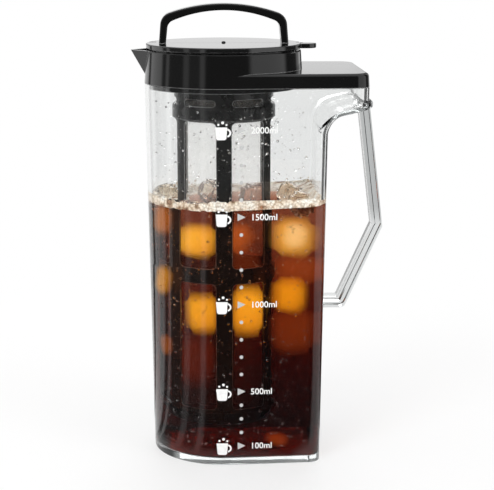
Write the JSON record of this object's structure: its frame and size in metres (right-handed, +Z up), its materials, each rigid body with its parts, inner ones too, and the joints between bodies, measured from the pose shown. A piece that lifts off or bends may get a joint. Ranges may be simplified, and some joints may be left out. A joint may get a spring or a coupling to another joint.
{
  "type": "cold brew coffee maker",
  "caption": "Tall clear pitcher with a bar handle, a black pour lid with a turning cap and bail, and a hanging mesh filter basket for steeping coffee in cold water.",
  "frame": {"origin": "on the axis of the lid and basket, at the height of the flat base", "axes": "+Z up, +X towards the handle, -X towards the pouring spout, +Y to the left of someone who looks from the spout to the handle"},
  "size_m": [0.1642, 0.1026, 0.2955],
  "materials": {
    "clear_plastic": "clear polished",
    "handle_plastic": "clear polished",
    "lid_black": "gloss",
    "cap_black": "gloss",
    "bail_black": "gloss",
    "basket_black": "satin",
    "mesh_screen": "fine woven mesh",
    "seal_rubber": "matt"
  },
  "bodies": {
    "jug": {"jug_body": "clear_plastic", "jug_handle": "handle_plastic"},
    "lid": {"lid_collar": "lid_black", "lid_gasket": "seal_rubber"},
    "basket": {"basket_frame": "basket_black", "filter_mesh": "mesh_screen"},
    "seal_ring": {"cap_seal": "seal_rubber"},
    "cap": {"cap_plug": "lid_black", "cap_disc": "cap_black", "bail_handle": "bail_black", "vent_plug": "seal_rubber"}
  },
  "joints": [
    {"name": "lid_lift", "type": "slide", "parent": "jug", "child": "lid", "axis": [0, 0, 1], "range_m": [0, 0.25]},
    {"name": "basket_lift", "type": "slide", "parent": "lid", "child": "basket", "axis": [0, 0, 1], "range_m": [0, 0.26]},
    {"name": "cap_lift", "type": "slide", "parent": "basket", "child": "seal_ring", "axis": [0, 0, 1], "range_m": [0, 0.03]},
    {"name": "cap_turn", "type": "hinge", "parent": "seal_ring", "child": "cap", "pos_m": [0, 0, 0.2506], "axis": [0, 0, 1], "range_deg": [0, 90]}
  ]
}
